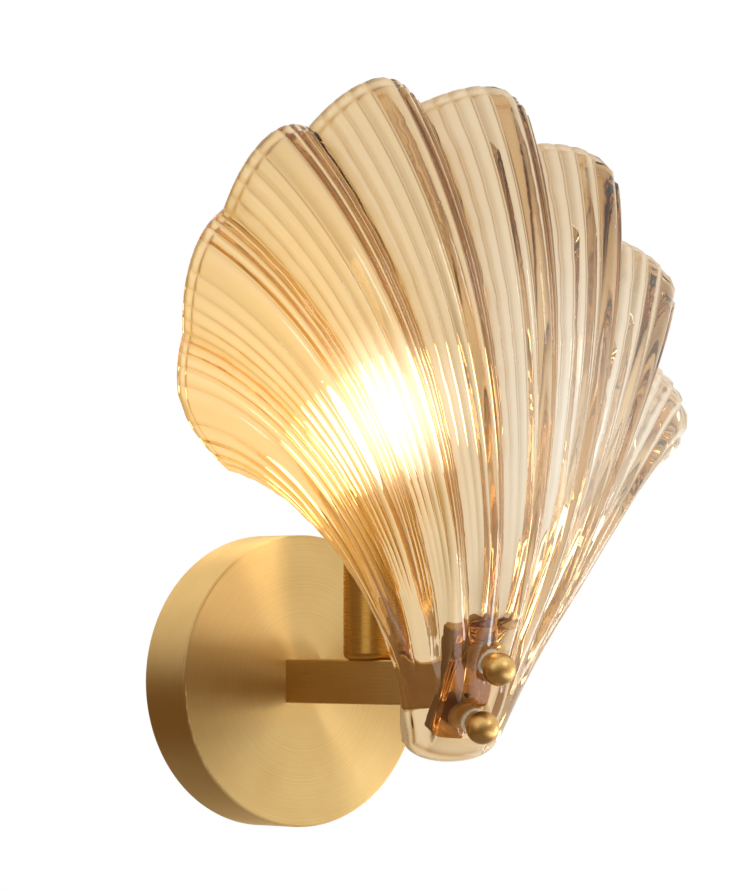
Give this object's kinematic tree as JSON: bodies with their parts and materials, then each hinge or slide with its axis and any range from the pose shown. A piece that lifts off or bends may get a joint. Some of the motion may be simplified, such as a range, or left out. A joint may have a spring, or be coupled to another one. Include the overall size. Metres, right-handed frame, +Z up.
{
  "type": "wall light",
  "caption": "Wall sconce with a round brass backplate, square arm, upright lamp cup and a fluted scallop-shell glass shade clamped by ball nuts in front of a small opal bulb.",
  "frame": {"origin": "centre of the round backplate, on the wall plane", "axes": "+Z up, the front of the light faces -Y, the wall is the plane Y = 0, and +X is to the right seen from the front"},
  "size_m": [0.2542, 0.169, 0.301],
  "materials": {
    "satin_brass": "satin, finely brushed",
    "champagne_glass": "clear pressed",
    "opal_glass": "opal",
    "clear_glass": "clear",
    "zinc_steel": "zinc plated",
    "silicone": "translucent matt",
    "phenolic": "heat-resistant moulding",
    "nylon": "moulded",
    "foam": "adhesive foam",
    "nickel": "nickel plated",
    "lamp_cement": "glazed black",
    "plain_brass": "bare",
    "brown_wire": "cable insulation",
    "blue_wire": "cable insulation",
    "green_wire": "cable insulation"
  },
  "bodies": {
    "wall_mount": {"wall_strap": "zinc_steel", "earth_screw": "plain_brass", "earth_washer": "plain_brass"},
    "fixture": {"canopy": "satin_brass", "canopy_grub_screws": "satin_brass", "arm_nipple": "zinc_steel", "canopy_washer": "zinc_steel", "earth_lug": "nickel", "nipple_nut": "zinc_steel", "arm_tube": "satin_brass", "arm_root_block": "plain_brass", "arm_end_block": "plain_brass", "shade_clamp_bar": "satin_brass", "clamp_screw": "zinc_steel", "shade_studs": "plain_brass", "rear_washers": "silicone", "lamp_cup": "satin_brass", "cup_nipple": "zinc_steel", "cup_square_nut": "zinc_steel", "cup_lock_nut": "zinc_steel", "lampholder_cap": "phenolic", "lampholder_body": "phenolic", "lampholder_screw_shell": "nickel", "lampholder_contact": "plain_brass", "terminal_pad": "foam", "terminal_block": "nylon", "terminal_tubes": "plain_brass", "terminal_screws": "zinc_steel", "wire_live": "brown_wire", "wire_neutral": "blue_wire", "wire_earth": "green_wire"},
    "shade": {"shell_glass": "champagne_glass", "hole_sleeves": "silicone", "front_washers": "silicone"},
    "upper_nut": {"upper_ball_nut": "satin_brass"},
    "lower_nut": {"lower_ball_nut": "satin_brass"},
    "bulb": {"bulb_globe": "opal_glass", "bulb_base_shell": "nickel", "bulb_insulator": "lamp_cement", "bulb_contact": "plain_brass", "bulb_stem": "clear_glass", "bulb_filament": "zinc_steel"}
  },
  "joints": [
    {"name": "canopy_off", "type": "slide", "parent": "wall_mount", "child": "fixture", "axis": [0, -1, 0], "range_m": [0, 0.03]},
    {"name": "shade_off", "type": "slide", "parent": "fixture", "child": "shade", "axis": [0, -0.91, -0.4145], "range_m": [0, 0.04]},
    {"name": "upper_nut_off", "type": "slide", "parent": "shade", "child": "upper_nut", "axis": [0, -0.91, -0.4145], "range_m": [0, 0.014]},
    {"name": "lower_nut_off", "type": "slide", "parent": "shade", "child": "lower_nut", "axis": [0, -0.91, -0.4145], "range_m": [0, 0.014]},
    {"name": "bulb_out", "type": "slide", "parent": "fixture", "child": "bulb", "axis": [0, 0, 1], "range_m": [0, 0.03]}
  ]
}
